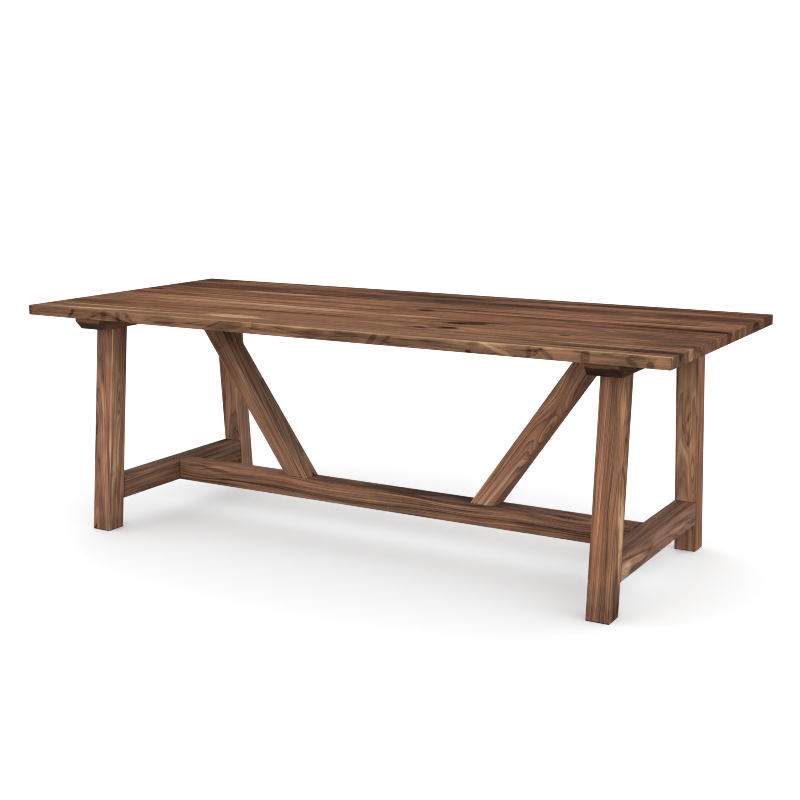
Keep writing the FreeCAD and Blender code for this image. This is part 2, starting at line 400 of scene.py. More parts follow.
def leg_stick(name, row):
    """The frame of a leg, from its foot's middle; across is to the right, deep is to the back."""
    low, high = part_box(name)
    splay = math.radians(LEG_SPLAY_DEGREES)
    half = (high.x - low.x) / 2
    foot_y = (high.y if row > 0 else low.y) - row * half / math.cos(splay)
    grain = Vector((0, -row * math.sin(splay), math.cos(splay)))
    foot = Vector(((low.x + high.x) / 2, foot_y, 0))
    return Stick(foot, grain, X_AXIS, (high.z, half, half))


def brace_stick(name, side):
    """The frame of a brace, from its head's middle; across is to the right, deep is to the back."""
    low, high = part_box(name)
    lean = math.radians(BRACE_LEAN_DEGREES)
    half = (high.y - low.y) / 2
    head_x = (high.x if side > 0 else low.x) - side * half / math.cos(lean)
    grain = Vector((side * math.sin(lean), 0, math.cos(lean)))
    across = Vector((math.cos(lean), 0, -side * math.sin(lean)))
    return Stick(Vector((head_x, 0, high.z)), grain, across, (high.z, half, half))


def stick_of(name):
    """The grain frame of a wooden piece."""
    if name.startswith("board") or name == "stretcher":
        return long_stick(name)
    if name.startswith("leg"):
        return leg_stick(name, 1 if "back" in name else -1)
    if name.startswith("brace"):
        return brace_stick(name, 1 if "right" in name else -1)
    return cross_stick(name)


def new_material(name):
    """A new material with its nodes and its shader."""
    material = bpy.data.materials.new(name)
    material.use_nodes = True
    tree = material.node_tree
    return material, tree, tree.nodes["Principled BSDF"]


def object_place(tree):
    """The place on a piece, in the table's own frame."""
    return Field(tree, tree.nodes.new("ShaderNodeTexCoord").outputs["Object"])


def grain_place(tree, stick):
    """The place on a piece, in its grain frame: along, across and deep."""
    place = object_place(tree)
    values = {"Vector": place, "Location": stick.origin, "Rotation": stick.turn()}
    return place.node("ShaderNodeMapping", values, vector_type="TEXTURE")


def waves(place, size, seed, detail=1.0, output=0):
    """Noise with waves of one length along the grain and another across it."""
    along, across = size
    scales = (1 / along, 1 / across, 1 / across)
    return place.stretched(scales, (seed, seed, seed)).noise(detail, output)


def shifted(place, size, reach, seed):
    """A place moved across the grain by noise, as far as its reach."""
    wave = waves(place, size, seed, output=1).vector("SUBTRACT", (0.5, 0.5, 0.5))
    return wave.vector("MULTIPLY_ADD", (0, 2 * reach, 2 * reach), place)


def ring_distance(bent, wavy, cut, seed):
    """How far a place lies from the pith, with the knots' swellings and uneven years."""
    along, across, deep = bent.parts()
    from_pith_across = (across - cut.pith[0]).plus(along, -cut.drift[0])
    from_pith_deep = (deep - cut.pith[1]).plus(along, -cut.drift[1])
    distance = from_pith_across.joined(from_pith_deep, 0.0).vector("LENGTH", output=1)
    for knot in cut.knots:
        distance = distance.plus(spot(wavy, knot.middle, knot.reach), knot.lift)
    wave, width, reach = UNEVEN_YEARS
    uneven = (distance * (1 / width)).joined(along * (1 / wave), seed).noise() - 0.5
    return distance.plus(uneven, reach)


def band(distance, along, size, seed, detail=1.0):
    """Noise in bands that follow the rings, from about minus their strength to plus it."""
    wave, width, strength = size
    place = (distance * (1 / width)).joined(along * (1 / wave), seed)
    return (place.noise(detail) - 0.5) * (2 * strength)


def growth(distance, along, cut, seed):
    """The tone of the bands and of the years' dark lines, and those lines alone."""
    widest = band(distance, along, WIDE_BAND, seed)
    wide = band(distance, along, BAND, seed + 7, detail=2.0)
    fine = band(distance, along, FINE_BAND, seed + 9, detail=2.0)
    tone = (widest + wide) * cut.broad + fine * cut.lines
    late = (distance * (1 / cut.ring)).math("FRACT").math("POWER", RING_SHARPNESS)
    wave, width = RING_FADE
    fade = (distance * (1 / width)).joined(along * (1 / wave), seed + 10).noise()
    late = late * fade.smooth(*RING_FADE_EDGE)
    return tone.plus(late, -RING_LINE * cut.lines), late


def end_grain(tree, stick):
    """1 on the faces that cut the grain, 0 on those along it."""
    normal = Field(tree, tree.nodes.new("ShaderNodeNewGeometry").outputs["Normal"])
    facing = normal.vector("DOT_PRODUCT", stick.grain, output=1).math("ABSOLUTE")
    return facing.smooth(*END_FACING)


def pores(place, seed):
    """1 in the pores, 0 between them."""
    vessel = place.stretched((1 / PORE[0], 1 / PORE[1], 1 / PORE[1]), (seed, 0, 0))
    distance = vessel.node("ShaderNodeTexVoronoi", {"Vector": vessel, "Scale": 1.0})
    return distance.smooth(*PORE_EDGE, 1.0, 0.0)


def marked(tone, warm, wavy, tongue, cut):
    """The tone and warmth with the streaks and the knots' cores, their edges made ragged."""
    for streak in cut.streaks:
        spread = spot(wavy, streak.middle, streak.reach, streak.lean)
        mask = (spread + tongue).smooth(*STREAK_EDGE)
        tone = tone.plus(mask, streak.tone)
        if streak.red:
            warm = warm.plus(mask, streak.red)
    for knot in cut.knots:
        if knot.core:
            core = spot(wavy, knot.middle, [knot.core * share for share in KNOT_SPREAD])
            tone = tone.plus((core + tongue).smooth(*KNOT_EDGE), KNOT_TONE)
    return tone, warm


def glued(tone, place, stick, name):
    """A board's tone with the dark lines where its neighbours are glued to it."""
    across = place.parts()[1]
    half = stick.reach[1]
    if name != BACK_BOARD:
        tone = tone.plus(across.smooth(half - GLUE_LINE, half), GLUE_TONE)
    if name != FRONT_BOARD:
        tone = tone.plus(across.smooth(-half, GLUE_LINE - half, 1.0, 0.0), GLUE_TONE)
    return tone


def arris_distance(place, stick):
    """How far a place on the surface lies from the nearest arris of its stick."""
    parts = place.vector("ABSOLUTE").parts()
    x, y, z = [(part * -1) + reach for part, reach in zip(parts, stick.reach)]
    pairs = [x.math("MAXIMUM", y), y.math("MAXIMUM", z), x.math("MAXIMUM", z)]
    return pairs[0].math("MINIMUM", pairs[1]).math("MINIMUM", pairs[2])


def worn(tone, place, stick, seed):
    """A tone made lighter in patches along the arrises."""
    wear = arris_distance(place, stick).smooth(0.0, WORN_WIDTH, 1.0, 0.0)
    patchy = waves(place, WORN_PATCH, seed).smooth(*WORN_EDGE)
    return tone.plus(wear * patchy, WORN_TONE)


def coloured(tone, warm, rose):
    """The colour of walnut at a tone, tinted by its warmth and rose."""
    ramp = tone.node("ShaderNodeValToRGB", {0: tone})
    elements = ramp.socket.node.color_ramp.elements
    for element, (share, colour) in zip(elements, (WALNUT_RAMP[0], WALNUT_RAMP[-1])):
        element.position = share
        element.color = (*linear(colour), 1)
    for share, colour in WALNUT_RAMP[1:-1]:
        elements.new(share).color = (*linear(colour), 1)
    tint = warm.joined(warm, warm).vector("MULTIPLY_ADD", WARM_TINT, (1.0, 1.0, 1.0))
    tint = rose.joined(rose, rose).vector("MULTIPLY_ADD", ROSE_TINT, tint)
    return ramp.vector("MULTIPLY", tint)


def walnut(name, stick, cut, seed):
    """Oiled walnut, cut from its tree as told. Most noises add their own number to its seed."""
    material, tree, shader = new_material("walnut_" + name)
    is_board = name.startswith("board")
    place = grain_place(tree, stick)
    wavy = shifted(shifted(place, RIPPLE, RIPPLE_SHIFT, seed + 3), CURL, CURL_SHIFT, seed + 5)
    bent = shifted(wavy, SLOW_WAVE, cut.wander, seed)
    distance = ring_distance(bent, wavy, cut, seed)
    along = bent.parts()[0]
    fibre = waves(place, FIBRE[:2], seed + 11) - 0.5
    mottle = waves(bent, MOTTLE[:2], seed + 13) - 0.5
    pore = pores(place, seed)
    end = end_grain(tree, stick)

    tone, late = growth(distance, along, cut, seed)
    tone = tone.plus(fibre, 2 * FIBRE[2]).plus(mottle, 2 * MOTTLE[2])
    end_contrast = cut.contrast * (BOARD_END_CONTRAST if is_board else END_CONTRAST)
    tone = tone * end.smooth(0.0, 1.0, cut.contrast, end_contrast) + (MID_TONE + cut.tone)

    warm = band(distance, along, WARM_BAND, seed + 19) + cut.red
    rose = band(distance, along, ROSE_BAND, seed + 21) + cut.rose
    tongue = (waves(bent, TONGUE[:2], seed + 15, detail=2.0) - 0.5) * TONGUE[2]
    tone, warm = marked(tone, warm, wavy, tongue, cut)
    tone = tone.plus(pore, -PORE[2]).plus(end, BOARD_END_TONE if is_board else END_TONE)
    if is_board:
        tone = glued(tone, place, stick, name)
    tone = worn(tone, place, stick, seed + 17)
    coloured(tone, warm, rose).into(shader, "Base Color")

    rough = waves(place, ROUGH_PATCH, seed + 23) * PATCH_ROUGHNESS
    rough = rough.plus(pore, PORE_ROUGHNESS).plus(end, END_ROUGHNESS) + ROUGHNESS
    rough.into(shader, "Roughness")
    shader.inputs["Specular IOR Level"].default_value = GLOSS
    height = (fibre * FIBRE_RELIEF).plus(pore, PORE_RELIEF).plus(late, LATE_RELIEF)
    relief = {"Height": height, "Strength": RELIEF_STRENGTH, "Distance": RELIEF_DEPTH}
    height.node("ShaderNodeBump", relief).into(shader, "Normal")
    return material


# Each timber's cut, with its streaks and knots where the photograph shows them
CUTS = {
    "board_1": Cut(
        pith=(0.09, -0.004),
        drift=(0.0, 0.004),
        tone=-0.04,
        lines=0.7,
        red=0.15,
        rose=-0.45,
        streaks=(
            right_end(-0.05),
            BOARD_TOP.streak(-0.34, 0.036, 0.11, 0.030, 0.38, red=-0.6),
            BOARD_TOP.streak(-0.46, 0.005, 0.12, 0.014, 0.16, slope=5.0),
            BOARD_TOP.streak(-0.95, -0.040, 0.25, 0.014, 0.22, red=-0.5),
            BOARD_TOP.streak(-0.74, -0.012, 0.11, 0.034, 0.32, red=-0.4, slope=9.0),
            BOARD_TOP.streak(-0.80, 0.045, 0.26, 0.012, 0.22),
            Streak((0.30, -0.062, 0.018), (0.95, 0.010, 0.02), 0.40, red=-0.2),
            BOARD_TOP.streak(0.20, 0.045, 0.36, 0.030, 0.05, red=-0.2),
            BOARD_TOP.streak(0.93, 0.004, 0.24, 0.024, -0.20, red=-0.6),
            Streak((0.90, 0.045, 0.016), (0.16, 0.012, 0.02), 0.14),
            BOARD_EDGE.streak(-1.10, 0.0, 0.018, 1.0, -0.18),
            BOARD_EDGE.streak(-0.913, 0.0, 0.009, 0.020, -0.20, slope=0.8),
            BOARD_EDGE.streak(-0.785, 0.0, 0.070, 0.030, 0.13, red=0.3),
            BOARD_EDGE.streak(-0.825, 0.0, 0.010, 0.020, -0.08, slope=1.0),
            BOARD_EDGE.streak(-0.775, 0.0, 0.012, 0.030, -0.12, red=0.6, slope=0.2),
            BOARD_EDGE.streak(-0.715, 0.0, 0.011, 0.030, -0.16, red=0.3, slope=-0.2),
            BOARD_EDGE.streak(-0.670, 0.0, 0.010, 0.020, -0.10, slope=-1.0),
            BOARD_EDGE.streak(-0.530, -0.006, 0.055, 0.006, -0.16),
            BOARD_EDGE.streak(-0.425, 0.0, 0.014, 0.014, -0.16, slope=5.5),
            BOARD_EDGE.streak(-0.294, 0.0, 0.060, 0.030, -0.16, slope=2.6),
            BOARD_EDGE.streak(-0.345, 0.0, 0.009, 0.030, -0.16, slope=2.6),
            BOARD_EDGE.streak(-0.110, -0.006, 0.110, 0.010, 0.18),
            BOARD_EDGE.streak(-0.060, 0.002, 0.016, 0.014, -0.14, slope=-6.0),
            BOARD_EDGE.streak(0.090, 0.0, 0.100, 1.0, -0.12),
            BOARD_EDGE.streak(0.222, 0.0, 0.012, 0.030, -0.16, red=0.3, slope=0.8),
            BOARD_EDGE.streak(0.265, 0.0, 0.010, 0.030, -0.12, slope=1.2),
            BOARD_EDGE.streak(0.470, 0.010, 0.110, 0.008, -0.20),
            BOARD_EDGE.streak(0.440, -0.011, 0.110, 0.005, 0.12),
            BOARD_EDGE.streak(0.360, 0.006, 0.060, 0.004, -0.12),
            BOARD_EDGE.streak(0.460, -0.004, 0.060, 0.003, -0.12),
            BOARD_EDGE.streak(0.528, -0.011, 0.013, 0.006, -0.34),
            BOARD_EDGE.streak(0.612, 0.0, 0.022, 0.030, 0.30, red=-0.3, slope=-2.4),
            BOARD_EDGE.streak(0.560, 0.012, 0.080, 0.006, -0.14),
            BOARD_EDGE.streak(0.708, 0.0, 0.009, 0.030, -0.16),
            BOARD_EDGE.streak(0.760, 0.0, 0.011, 0.030, -0.16, slope=-1.2),
            BOARD_EDGE.streak(0.805, 0.0, 0.030, 1.0, 0.04),
            BOARD_EDGE.streak(0.868, -0.002, 0.014, 0.030, -0.22, red=0.3),
            BOARD_EDGE.streak(0.955, 0.0, 0.070, 1.0, -0.03, red=-0.2),
            BOARD_EDGE.streak(0.930, 0.012, 0.060, 0.006, 0.10),
            BOARD_EDGE.streak(0.995, -0.002, 0.014, 0.012, -0.16, slope=-1.0),
            BOARD_EDGE.streak(1.045, -0.006, 0.011, 0.012, -0.18),
            BOARD_EDGE.streak(1.080, 0.0, 0.025, 0.030, 0.15, red=0.2),
            BOARD_EDGE.streak(0.90, 0.0, 0.26, 1.0, -0.06),
            BOARD_EDGE.streak(0.20, 0.0, 0.30, 1.0, -0.05),
            BOARD_EDGE.streak(0.00, 0.0, 2.0, 1.0, -0.07, red=-0.3),
            BOARD.streak(1.105, 0.0, 0.012, 0.1, -0.02, red=-0.6),
            Streak((0.00, 0.010, 0.016), (1.60, 0.070, 0.012), 0.09),
            Streak((1.04, 0.010, 0.016), (0.10, 0.070, 0.012), -0.10, red=0.3),
            BOARD_EDGE.streak(-1.00, 0.0, 0.12, 1.0, -0.08, red=0.3),
            BOARD_EDGE.streak(-0.82, 0.012, 0.10, 0.008, -0.10),
            BOARD_EDGE.streak(-0.40, 0.0, 0.12, 0.03, 0.10),
            BOARD_EDGE.streak(-0.22, 0.010, 0.10, 0.008, 0.08),
            BOARD_EDGE.streak(0.00, 0.0, 0.10, 0.03, 0.06),
            BOARD_EDGE.streak(0.545, 0.010, 0.030, 0.010, -0.24),
            BOARD_EDGE.streak(0.690, 0.010, 0.070, 0.010, -0.26, red=0.3),
            BOARD_EDGE.streak(0.80, 0.010, 0.08, 0.008, 0.10),
            BOARD_EDGE.streak(1.02, 0.010, 0.08, 0.008, 0.12, red=0.3),
            BOARD_EDGE.streak(1.00, -0.010, 0.10, 0.006, -0.06, red=0.3),
        ),
        knots=(Knot((-0.75, -0.09, -0.035), (0.12, 0.04, 0.04), 0.032),),
    ),
    "board_2": Cut(
        pith=(-0.02, -0.07),
        drift=(0.01, 0.015),
        tone=0.02,
        broad=0.9,
        lines=0.5,
        red=0.45,
        rose=-0.6,
        streaks=(
            BOARD.streak(-1.02, 0.0, 0.20, 0.06, -0.12, red=0.5),
            BOARD.streak(-0.55, 0.0, 0.60, 0.040, -0.03, red=0.3),
            BOARD.streak(-0.48, 0.066, 0.60, 0.008, -0.16),
            BOARD_TOP.streak(0.30, -0.010, 0.12, 0.040, -0.14),
            BOARD_TOP.streak(0.33, -0.008, 0.035, 0.032, -0.20, slope=-1.0),
            BOARD_TOP.streak(0.54, 0.0, 0.13, 0.035, 0.14, red=-0.1),
            BOARD_TOP.streak(0.86, -0.004, 0.20, 0.026, 0.14, red=-0.2),
            Streak((1.10, -0.05, 0.0), (0.02, 0.02, 0.03), 0.26),
            BOARD.streak(1.02, 0.058, 0.12, 0.016, -0.14),
            BOARD.streak(1.04, 0.0, 0.12, 0.06, -0.11),
        ),
        knots=(
            Knot((0.364, 0.0, 0.016), (0.05, 0.02, 0.03), 0.010, core=0.014),
            Knot((0.279, -0.030, 0.016), (0.04, 0.016, 0.03), 0.008, core=0.011),
            Knot((0.714, 0.022, 0.016), (0.05, 0.018, 0.03), 0.010, core=0.012),
        ),
    ),
    "board_3": Cut(
        pith=(0.10, -0.05),
        drift=(0.0, -0.01),
        tone=0.02,
        lines=0.6,
        red=0.45,
        rose=-0.45,
        streaks=(
            BOARD.streak(-0.70, 0.058, 0.50, 0.016, 0.08),
            BOARD.streak(-0.50, 0.036, 0.50, 0.030, 0.24, red=-0.4),
            BOARD.streak(-0.10, 0.010, 0.30, 0.040, 0.08),
            BOARD_TOP.streak(0.15, 0.035, 0.09, 0.014, 0.26, red=-0.5),
            BOARD.streak(0.40, 0.000, 0.12, 0.050, -0.08),
            BOARD.streak(0.36, -0.034, 0.060, 0.036, -0.28, slope=0.8),
            BOARD.streak(0.30, -0.045, 0.080, 0.014, -0.18),
            BOARD.streak(0.43, 0.020, 0.045, 0.024, -0.14, slope=1.2),
            BOARD.streak(0.62, -0.012, 0.22, 0.028, 0.20, red=-0.1),
            BOARD.streak(0.66, 0.042, 0.22, 0.016, -0.12),
            BOARD.streak(0.80, 0.020, 0.012, 0.030, 0.14, slope=-1.2),
            BOARD_TOP.streak(1.07, 0.0, 0.08, 0.060, -0.08),
            BOARD_TOP.streak(1.07, 0.044, 0.04, 0.012, 0.24),
            BOARD.streak(0.96, 0.0, 0.22, 0.06, -0.08),
        ),
        knots=(Knot((0.35, -0.042, 0.016), (0.12, 0.040, 0.05), 0.024, core=0.009),),
    ),
    "board_4": Cut(
        pith=(0.02, -0.06),
        drift=(-0.01, 0.01),
        tone=-0.01,
        lines=0.6,
        red=0.6,
        rose=-0.55,
        streaks=(
            BOARD.streak(-0.90, 0.012, 0.32, 0.040, -0.12, red=0.2),
            BOARD.streak(-0.75, 0.026, 0.28, 0.022, -0.16),
            BOARD.streak(-0.55, -0.048, 0.45, 0.022, 0.10, red=-0.3),
            BOARD.streak(-0.28, 0.030, 0.16, 0.030, 0.10, red=-0.2),
            BOARD.streak(-0.46, -0.033, 0.60, 0.008, -0.10),
            BOARD.streak(0.48, 0.064, 0.36, 0.010, 0.28, red=-0.3),
            BOARD.streak(0.36, 0.040, 0.24, 0.016, -0.16, red=1.4),
            BOARD.streak(0.66, 0.026, 0.24, 0.018, -0.15, red=1.5),
            BOARD.streak(0.98, 0.016, 0.24, 0.026, -0.18, red=1.6),
            BOARD.streak(0.95, -0.060, 0.30, 0.007, -0.14),
            BOARD.streak(0.40, -0.020, 0.25, 0.030, 0.06, red=0.2),
            BOARD.streak(0.86, 0.064, 0.24, 0.011, 0.20, red=-0.2),
            BOARD.streak(-0.22, 0.0, 0.18, 0.06, 0.07),
            BOARD.streak(0.66, 0.0, 0.50, 0.06, 0.01, red=0.4),
            BOARD.streak(-1.02, 0.0, 0.16, 0.06, -0.07, red=0.3),
            BOARD.streak(1.04, 0.0, 0.12, 0.06, -0.06),
        ),
        knots=(Knot((0.104, 0.041, 0.016), (0.08, 0.030, 0.04), 0.018, core=0.022),),
    ),
    "board_5": Cut(
        pith=(-0.10, -0.04),
        drift=(0.01, 0.01),
        tone=-0.01,
        lines=0.7,
        red=0.55,
        rose=-0.6,
        streaks=(
            right_end(-0.12),
            BOARD.streak(-1.09, 0.0, 0.06, 0.1, -0.10, red=0.5),
            BOARD.streak(-0.56, 0.052, 0.17, 0.022, 0.24, red=-0.2),
            BOARD.streak(-0.74, 0.050, 0.06, 0.020, -0.10),
            BOARD.streak(-0.98, 0.0, 0.14, 0.060, -0.10, red=0.8),
            BOARD.streak(-0.10, 0.0, 0.30, 0.060, 0.10),
            BOARD.streak(0.80, -0.060, 0.20, 0.013, 0.26, red=0.2, slope=8.0),
            BOARD.streak(1.04, -0.032, 0.05, 0.030, 0.24, slope=3.0),
            BOARD.streak(0.60, 0.034, 0.07, 0.012, 0.20, red=0.3),
            BOARD.streak(0.81, 0.040, 0.08, 0.015, 0.20, red=0.2),
            BOARD.streak(1.05, 0.036, 0.09, 0.016, 0.24, red=0.1),
            BOARD.streak(0.85, 0.050, 0.32, 0.018, 0.08, red=-0.2),
            BOARD.streak(0.90, 0.006, 0.14, 0.012, -0.16, red=0.6),
            BOARD.streak(0.84, -0.022, 0.18, 0.014, -0.16, red=0.2),
            BOARD.streak(-0.70, 0.056, 0.40, 0.014, 0.10),
            BOARD.streak(0.10, 0.0, 0.20, 0.06, -0.08),
            BOARD.streak(1.00, 0.0, 0.20, 0.06, -0.06),
        ),
        knots=(Knot((-1.06, -0.030, 0.016), (0.06, 0.025, 0.04), 0.012, core=0.020),),
    ),
    "board_6": Cut(
        pith=(0.01, -0.08),
        drift=(0.0, 0.02),
        tone=-0.12,
        contrast=0.8,
        lines=0.7,
        red=0.55,
        rose=-0.15,
        streaks=(
            BOARD.streak(-0.90, 0.0, 0.32, 0.06, -0.02, red=0.6),
            BOARD.streak(-0.46, 0.010, 0.16, 0.030, 0.09),
            BOARD.streak(0.05, 0.0, 0.42, 0.06, -0.11, red=-0.2),
            BOARD.streak(0.64, 0.02, 0.20, 0.04, 0.05, red=-0.4),
            BOARD.streak(0.96, 0.020, 0.20, 0.05, -0.14, red=0.3),
            BOARD.streak(1.105, 0.0, 0.012, 0.1, 0.0, red=0.2),
            BOARD.streak(-0.60, 0.0, 0.12, 0.05, 0.08),
            BOARD.streak(0.66, 0.0, 0.50, 0.06, -0.11),
        ),
    ),
    "board_7": Cut(
        pith=(-0.09, -0.05),
        drift=(0.01, 0.0),
        tone=-0.09,
        lines=0.7,
        red=0.75,
        rose=-0.7,
        streaks=(
            right_end(0.08, -0.4),
            BOARD.streak(-0.70, 0.0, 0.30, 0.06, 0.09),
            BOARD.streak(-1.02, 0.040, 0.14, 0.05, -0.09, red=0.5),
            BOARD.streak(-0.05, -0.045, 0.24, 0.045, -0.16, red=-0.6),
            BOARD.streak(0.50, -0.062, 0.12, 0.014, 0.12, red=0.2),
            BOARD.streak(0.90, 0.010, 0.40, 0.06, -0.12, red=0.5),
            BOARD.streak(0.60, 0.068, 0.70, 0.010, -0.12, red=0.3),
            BOARD.streak(1.105, 0.0, 0.012, 0.1, -0.12),
            BOARD.streak(-1.02, 0.0, 0.16, 0.06, -0.07),
        ),
    ),
    "bearer_left": Cut(
        pith=(0.0, -0.08),
        tone=0.02,
        contrast=0.35,
        red=-0.3,
        streaks=(
            # Painted shade on the end's chamfer, and painted light on the end face above it
            Streak((-0.430, 0.0, -0.012), (0.030, 0.1, 0.014), -0.22),
            Streak((-0.440, 0.0, 0.014), (0.012, 0.1, 0.012), 0.20),
        ),
    ),
    "bearer_right": Cut(
        pith=(0.02, -0.08),
        tone=-0.24,
        contrast=0.35,
        red=0.2,
        streaks=(
            # Painted shade on the end's chamfer, and painted light on the end face above it
            Streak((-0.430, 0.0, -0.012), (0.030, 0.1, 0.014), -0.05),
            Streak((-0.440, 0.0, 0.014), (0.012, 0.1, 0.012), 0.30),
        ),
    ),
    "leg_front_left": Cut(
        pith=(-0.036, 0.05),
        drift=(0.0, 0.04),
        ring=0.0050,
        tone=0.05,
        broad=0.65,
        lines=1.1,
        red=-0.05,
        rose=0.4,
        streaks=(
            seam_and_painted_shade(LEG_SHOULDER, (0.0, SPLAY)),
            # The dark line at the foot is a painted contact shadow
            seam_and_painted_shade(0.0, (0.0, SPLAY)),
            FRONT.streak(0.35, 0.000, 0.30, 0.03, 0.06),
            FRONT.streak(0.52, 0.024, 0.05, 0.012, -0.06, slope=-1.5),
            FRONT.streak(0.56, -0.006, 0.08, 0.010, -0.08),
            FRONT.streak(0.43, 0.004, 0.05, 0.018, 0.12, slope=-3.0),
            FRONT.streak(0.26, -0.020, 0.13, 0.014, -0.12),
            FRONT.streak(0.31, -0.031, 0.09, 0.008, -0.14),
            FRONT.streak(0.20, 0.010, 0.12, 0.012, 0.06),
            Streak((0.35, 0.035, 0.0), (1.0, 0.006, 0.1), 0.19, red=-0.5),
            RIGHT.streak(0.62, 0.028, 0.14, 0.010, -0.12),
            RIGHT.streak(0.455, -0.005, 0.012, 0.009, -0.20, slope=-6.6),
            RIGHT.streak(0.465, 0.014, 0.012, 0.011, -0.20, slope=6.5),
            RIGHT.streak(0.28, -0.005, 0.10, 0.016, 0.12),
            # Painted shade: darker towards the foot, on the right face and all round
            RIGHT.streak(0.06, 0.0, 0.08, 0.05, -0.12),
            Streak((0.00, 0.0, -0.01), (0.05, 0.1, 0.1), -0.10),
            RIGHT.streak(0.17, -0.004, 0.05, 0.016, -0.12),
            FRONT.streak(0.17, -0.020, 0.06, 0.016, 0.14),
            FRONT.streak(0.17, 0.020, 0.06, 0.014, -0.10, red=0.2),
            FRONT.streak(0.63, 0.018, 0.06, 0.016, -0.10),
            RIGHT.streak(0.47, -0.018, 0.10, 0.014, 0.09),
            RIGHT.streak(0.10, 0.030, 0.16, 0.010, -0.18),
        ),
        knots=(
            Knot((0.36, -0.034, -0.035), (0.05, 0.014, 0.03), 0.018),
            Knot((0.26, -0.036, -0.035), (0.04, 0.014, 0.03), 0.014),
            Knot((0.45, 0.045, 0.004), (0.09, 0.03, 0.012), 0.020),
            Knot((0.19, 0.040, -0.010), (0.03, 0.02, 0.010), 0.010, core=0.004),
        ),
    ),
    "leg_front_right": Cut(
        pith=(-0.14, 0.0),
        drift=(0.02, 0.01),
        tone=0.04,
        lines=0.95,
        red=0.12,
        streaks=(
            seam_and_painted_shade(LEG_SHOULDER, (0.0, SPLAY)),
            # The dark line at the foot is a painted contact shadow
            seam_and_painted_shade(0.0, (0.0, SPLAY)),
            FRONT.streak(0.35, 0.009, 1.0, 0.009, -0.20),
            FRONT.streak(0.40, -0.014, 0.5, 0.004, 0.10),
            Streak((0.52, 0.035, -0.020), (0.12, 0.012, 0.020), 0.08, red=0.3),
            RIGHT.streak(0.60, 0.020, 0.09, 0.012, -0.14),
            RIGHT.streak(0.60, -0.022, 0.05, 0.007, 0.22, slope=4.0),
            RIGHT.streak(0.46, 0.030, 0.025, 0.006, -0.26),
            RIGHT.streak(0.415, 0.000, 0.014, 0.012, -0.24, slope=-1.5),
            RIGHT.streak(0.385, 0.016, 0.018, 0.010, -0.28, slope=-1.5),
            RIGHT.streak(0.31, -0.014, 0.05, 0.010, 0.34, red=-0.3, slope=-2.0),
            RIGHT.streak(0.22, 0.014, 0.13, 0.018, 0.40, red=-0.3, slope=-4.5),
            # Painted shade: darker towards the foot, on the right face and all round
            RIGHT.streak(0.06, 0.000, 0.09, 0.040, -0.16, red=-0.3),
            Streak((0.00, 0.0, -0.01), (0.05, 0.1, 0.1), -0.08),
            FRONT.streak(0.35, -0.024, 0.22, 0.014, 0.10),
            # Painted shade: darker towards the foot on the front face
            FRONT.streak(0.04, 0.0, 0.06, 0.05, -0.04, red=-0.3),
            RIGHT.streak(0.52, 0.0, 0.05, 0.03, -0.09, red=0.2),
            RIGHT.streak(0.16, 0.024, 0.05, 0.012, -0.20),
        ),
        knots=(
            Knot((0.40, 0.045, 0.012), (0.06, 0.03, 0.018), 0.020),
            Knot((0.50, 0.045, 0.010), (0.05, 0.03, 0.018), 0.014),
            Knot((0.62, 0.020, -0.045), (0.06, 0.012, 0.02), 0.010),
        ),
    ),
    "leg_back_left": Cut(
        pith=(0.02, 0.04),
        drift=(0.01, 0.04),
        ring=0.0055,
        tone=-0.02,
        contrast=0.8,
        red=-0.35,
        rose=0.5,
        streaks=(
            seam_and_painted_shade(LEG_SHOULDER, (0.0, -SPLAY)),
            # The dark line at the foot is a painted contact shadow
            seam_and_painted_shade(0.0, (0.0, -SPLAY)),
            Streak((0.20, 0.035, 0.0), (0.3, 0.006, 0.1), 0.22, red=-0.5),
            FRONT.streak(0.36, 0.012, 0.06, 0.005, -0.16),
            FRONT.streak(0.30, -0.012, 0.12, 0.012, 0.08),
        ),
        knots=(Knot((0.30, 0.016, -0.045), (0.10, 0.016, 0.03), 0.008),),
    ),
    "leg_back_right": Cut(
        pith=(0.0, 0.05),
        drift=(0.01, 0.03),
        ring=0.0060,
        tone=0.25,
        broad=0.7,
        red=-0.4,
        rose=0.15,
        streaks=(
            seam_and_painted_shade(LEG_SHOULDER, (0.0, -SPLAY)),
            # The dark line at the foot is a painted contact shadow
            seam_and_painted_shade(0.0, (0.0, -SPLAY)),
            FRONT.streak(0.35, -0.032, 1.0, 0.004, -0.24),
            Streak((0.35, 0.035, 0.0), (1.0, 0.006, 0.1), -0.20, red=0.6),
            RIGHT.streak(0.35, 0.022, 0.16, 0.004, -0.20),
            FRONT.streak(0.60, 0.0, 0.06, 0.03, 0.08),
            FRONT.streak(0.45, 0.006, 0.012, 0.008, -0.22, slope=2.5),
            FRONT.streak(0.41, -0.008, 0.014, 0.006, -0.16, slope=-2.0),
            FRONT.streak(0.375, 0.006, 0.016, 0.007, -0.20, slope=2.0),
            FRONT.streak(0.45, 0.022, 0.20, 0.014, 0.12),
            FRONT.streak(0.05, 0.018, 0.05, 0.02, -0.12),
        ),
        knots=(
            Knot((0.44, 0.004, -0.045), (0.09, 0.014, 0.03), 0.018),
            Knot((0.26, 0.018, -0.045), (0.09, 0.012, 0.03), 0.014),
        ),
    ),
    "rail_left": Cut(
        pith=(0.04, -0.07),
        drift=(0.02, 0.02),
        ring=0.0065,
        tone=0.03,
        broad=0.8,
        lines=0.95,
        red=-0.5,
        streaks=(
            seam_and_painted_shade(RAIL_SHOULDER, (0.0, -SPLAY)),
            seam_and_painted_shade(-RAIL_SHOULDER, (0.0, SPLAY)),
            RAIL_SIDE.streak(-0.10, -0.012, 0.20, 0.008, 0.10),
            Streak((0.0, 0.020, 0.035), (0.6, 0.030, 0.010), -0.14),
        ),
    ),
